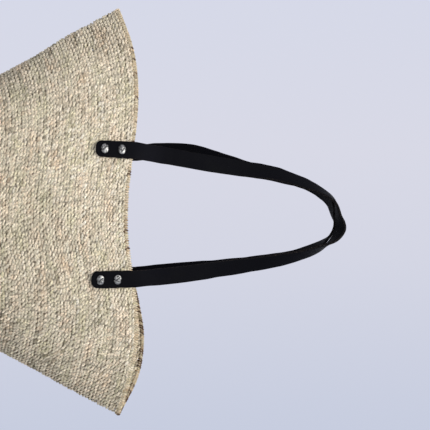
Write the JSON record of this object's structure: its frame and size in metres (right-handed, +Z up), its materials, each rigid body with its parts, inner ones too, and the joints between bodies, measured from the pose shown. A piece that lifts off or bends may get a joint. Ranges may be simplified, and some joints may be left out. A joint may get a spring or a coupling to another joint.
{
  "type": "kiondo basket",
  "caption": "Flared twined basket with a wide pointed mouth and two riveted leather strap handles that fold outward.",
  "frame": {"origin": "centre of the base's underside, on the surface that the basket stands on", "axes": "+Z up, +X along the mouth toward its right corner as seen from the front, front handle toward -Y"},
  "size_m": [0.4963, 0.1844, 0.5536],
  "materials": {
    "weave": "rough twined natural fibre",
    "rim": "rough natural fibre, browner than the wall",
    "leather": "black, fine grain, low sheen",
    "rivet": "nickel, dented by the hammer"
  },
  "bodies": {
    "basket": {"woven_base": "weave", "woven_wall": "weave", "rim_binding": "rim", "front_left_tab": "leather", "front_left_patch": "leather", "front_right_tab": "leather", "front_right_patch": "leather", "back_left_tab": "leather", "back_left_patch": "leather", "back_right_tab": "leather", "back_right_patch": "leather", "front_left_lower_rivet_cap": "rivet", "front_left_lower_rivet_stud": "rivet", "front_left_upper_rivet_cap": "rivet", "front_left_upper_rivet_stud": "rivet", "front_right_lower_rivet_cap": "rivet", "front_right_lower_rivet_stud": "rivet", "front_right_upper_rivet_cap": "rivet", "front_right_upper_rivet_stud": "rivet", "back_left_lower_rivet_cap": "rivet", "back_left_lower_rivet_stud": "rivet", "back_left_upper_rivet_cap": "rivet", "back_left_upper_rivet_stud": "rivet", "back_right_lower_rivet_cap": "rivet", "back_right_lower_rivet_stud": "rivet", "back_right_upper_rivet_cap": "rivet", "back_right_upper_rivet_stud": "rivet"},
    "front_handle": {"front_handle_strap": "leather"},
    "back_handle": {"back_handle_strap": "leather"}
  },
  "joints": [
    {"name": "front_handle_fold", "type": "hinge", "parent": "basket", "child": "front_handle", "pos_m": [0, -0.05157, 0.29198], "axis": [1, 0, 0], "range_deg": [0, 155]},
    {"name": "back_handle_fold", "type": "hinge", "parent": "basket", "child": "back_handle", "pos_m": [0, 0.0513, 0.29808], "axis": [-1, 0, 0], "range_deg": [0, 155]}
  ]
}
